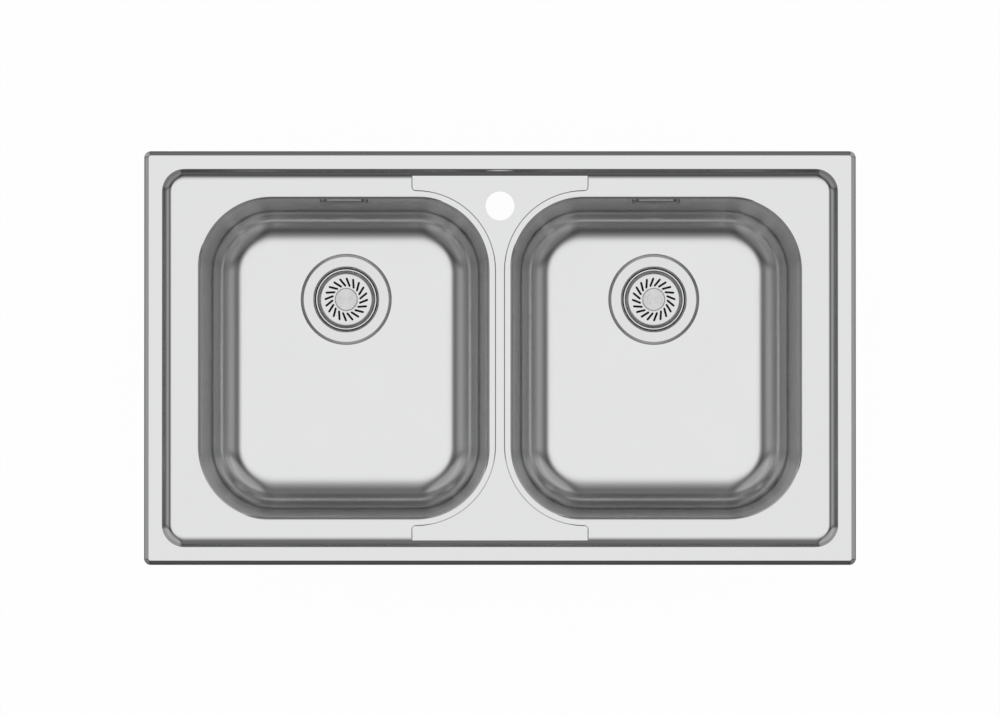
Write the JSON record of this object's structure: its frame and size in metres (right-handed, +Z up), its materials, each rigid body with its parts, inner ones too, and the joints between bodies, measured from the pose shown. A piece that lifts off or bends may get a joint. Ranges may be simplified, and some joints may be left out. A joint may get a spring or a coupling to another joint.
{
  "type": "built-in sink",
  "caption": "Inset double-bowl kitchen sink in stainless sheet with tap ledge, lift-out basket strainers, overflows and swing-out worktop clamps",
  "frame": {"origin": "middle of the sink on the worktop's surface, where the rim's edge rests", "axes": "+X along the sink to the right, +Y to the rear where the tap stands, +Z up"},
  "size_m": [0.86, 0.5, 0.2857],
  "materials": {
    "steel": "fine satin stainless steel",
    "strainer_steel": "polished stainless steel",
    "knob_steel": "turned stainless steel",
    "screw_steel": "bright stainless screw",
    "clamp_zinc": "zinc-plated steel",
    "nut_brass": "bare brass",
    "black_rubber": "matt black rubber",
    "rim_foam": "closed-cell foam",
    "sound_pad": "bitumen damping pad",
    "waste_plastic": "moulded polypropylene",
    "stem_plastic": "moulded acetal"
  },
  "bodies": {
    "sink": {"deck": "steel", "rim_seal": "rim_foam", "left_bowl": "steel", "left_sound_pad": "sound_pad", "left_strainer_flange": "strainer_steel", "left_flange_seal": "black_rubber", "left_body_seal": "black_rubber", "left_strainer_body": "waste_plastic", "left_centre_screw": "screw_steel", "left_centre_nut": "nut_brass", "left_overflow_cover": "strainer_steel", "left_overflow_screw": "screw_steel", "left_overflow_gasket": "black_rubber", "left_overflow_housing": "waste_plastic", "left_overflow_pipe": "waste_plastic", "right_bowl": "steel", "right_sound_pad": "sound_pad", "right_strainer_flange": "strainer_steel", "right_flange_seal": "black_rubber", "right_body_seal": "black_rubber", "right_strainer_body": "waste_plastic", "right_centre_screw": "screw_steel", "right_centre_nut": "nut_brass", "right_overflow_cover": "strainer_steel", "right_overflow_screw": "screw_steel", "right_overflow_gasket": "black_rubber", "right_overflow_housing": "waste_plastic", "right_overflow_pipe": "waste_plastic", "clamp_brackets": "clamp_zinc"},
    "left_basket_body": {"left_basket": "strainer_steel", "left_basket_knob": "knob_steel", "left_basket_stem": "stem_plastic", "left_basket_stopper": "black_rubber"},
    "right_basket_body": {"right_basket": "strainer_steel", "right_basket_knob": "knob_steel", "right_basket_stem": "stem_plastic", "right_basket_stopper": "black_rubber"},
    "clamp_front_left": {"clamp_screw_front_left": "clamp_zinc"},
    "claw_front_left_body": {"claw_front_left": "clamp_zinc"},
    "clamp_rear_left": {"clamp_screw_rear_left": "clamp_zinc"},
    "claw_rear_left_body": {"claw_rear_left": "clamp_zinc"},
    "clamp_front_right": {"clamp_screw_front_right": "clamp_zinc"},
    "claw_front_right_body": {"claw_front_right": "clamp_zinc"},
    "clamp_rear_right": {"clamp_screw_rear_right": "clamp_zinc"},
    "claw_rear_right_body": {"claw_rear_right": "clamp_zinc"},
    "clamp_left_front": {"clamp_screw_left_front": "clamp_zinc"},
    "claw_left_front_body": {"claw_left_front": "clamp_zinc"},
    "clamp_right_front": {"clamp_screw_right_front": "clamp_zinc"},
    "claw_right_front_body": {"claw_right_front": "clamp_zinc"},
    "clamp_left_rear": {"clamp_screw_left_rear": "clamp_zinc"},
    "claw_left_rear_body": {"claw_left_rear": "clamp_zinc"},
    "clamp_right_rear": {"clamp_screw_right_rear": "clamp_zinc"},
    "claw_right_rear_body": {"claw_right_rear": "clamp_zinc"}
  },
  "joints": [
    {"name": "left_basket_lift", "type": "slide", "parent": "sink", "child": "left_basket_body", "axis": [0, 0, 1], "range_m": [0, 0.25]},
    {"name": "right_basket_lift", "type": "slide", "parent": "sink", "child": "right_basket_body", "axis": [0, 0, 1], "range_m": [0, 0.25]},
    {"name": "swing_front_left", "type": "hinge", "parent": "sink", "child": "clamp_front_left", "pos_m": [-0.29, -0.22195, -0.0705], "axis": [0, 0, 1], "range_deg": [0, 90]},
    {"name": "draw_front_left", "type": "slide", "parent": "clamp_front_left", "child": "claw_front_left_body", "axis": [0, 0, 1], "range_m": [0, 0.035]},
    {"name": "swing_rear_left", "type": "hinge", "parent": "sink", "child": "clamp_rear_left", "pos_m": [-0.29, 0.22195, -0.0705], "axis": [0, 0, 1], "range_deg": [0, 90]},
    {"name": "draw_rear_left", "type": "slide", "parent": "clamp_rear_left", "child": "claw_rear_left_body", "axis": [0, 0, 1], "range_m": [0, 0.035]},
    {"name": "swing_front_right", "type": "hinge", "parent": "sink", "child": "clamp_front_right", "pos_m": [0.29, -0.22195, -0.0705], "axis": [0, 0, 1], "range_deg": [0, 90]},
    {"name": "draw_front_right", "type": "slide", "parent": "clamp_front_right", "child": "claw_front_right_body", "axis": [0, 0, 1], "range_m": [0, 0.035]},
    {"name": "swing_rear_right", "type": "hinge", "parent": "sink", "child": "clamp_rear_right", "pos_m": [0.29, 0.22195, -0.0705], "axis": [0, 0, 1], "range_deg": [0, 90]},
    {"name": "draw_rear_right", "type": "slide", "parent": "clamp_rear_right", "child": "claw_rear_right_body", "axis": [0, 0, 1], "range_m": [0, 0.035]},
    {"name": "swing_left_front", "type": "hinge", "parent": "sink", "child": "clamp_left_front", "pos_m": [-0.40195, -0.11, -0.0705], "axis": [0, 0, 1], "range_deg": [0, 90]},
    {"name": "draw_left_front", "type": "slide", "parent": "clamp_left_front", "child": "claw_left_front_body", "axis": [0, 0, 1], "range_m": [0, 0.035]},
    {"name": "swing_right_front", "type": "hinge", "parent": "sink", "child": "clamp_right_front", "pos_m": [0.40195, -0.11, -0.0705], "axis": [0, 0, 1], "range_deg": [0, 90]},
    {"name": "draw_right_front", "type": "slide", "parent": "clamp_right_front", "child": "claw_right_front_body", "axis": [0, 0, 1], "range_m": [0, 0.035]},
    {"name": "swing_left_rear", "type": "hinge", "parent": "sink", "child": "clamp_left_rear", "pos_m": [-0.40195, 0.11, -0.0705], "axis": [0, 0, 1], "range_deg": [0, 90]},
    {"name": "draw_left_rear", "type": "slide", "parent": "clamp_left_rear", "child": "claw_left_rear_body", "axis": [0, 0, 1], "range_m": [0, 0.035]},
    {"name": "swing_right_rear", "type": "hinge", "parent": "sink", "child": "clamp_right_rear", "pos_m": [0.40195, 0.11, -0.0705], "axis": [0, 0, 1], "range_deg": [0, 90]},
    {"name": "draw_right_rear", "type": "slide", "parent": "clamp_right_rear", "child": "claw_right_rear_body", "axis": [0, 0, 1], "range_m": [0, 0.035]}
  ]
}
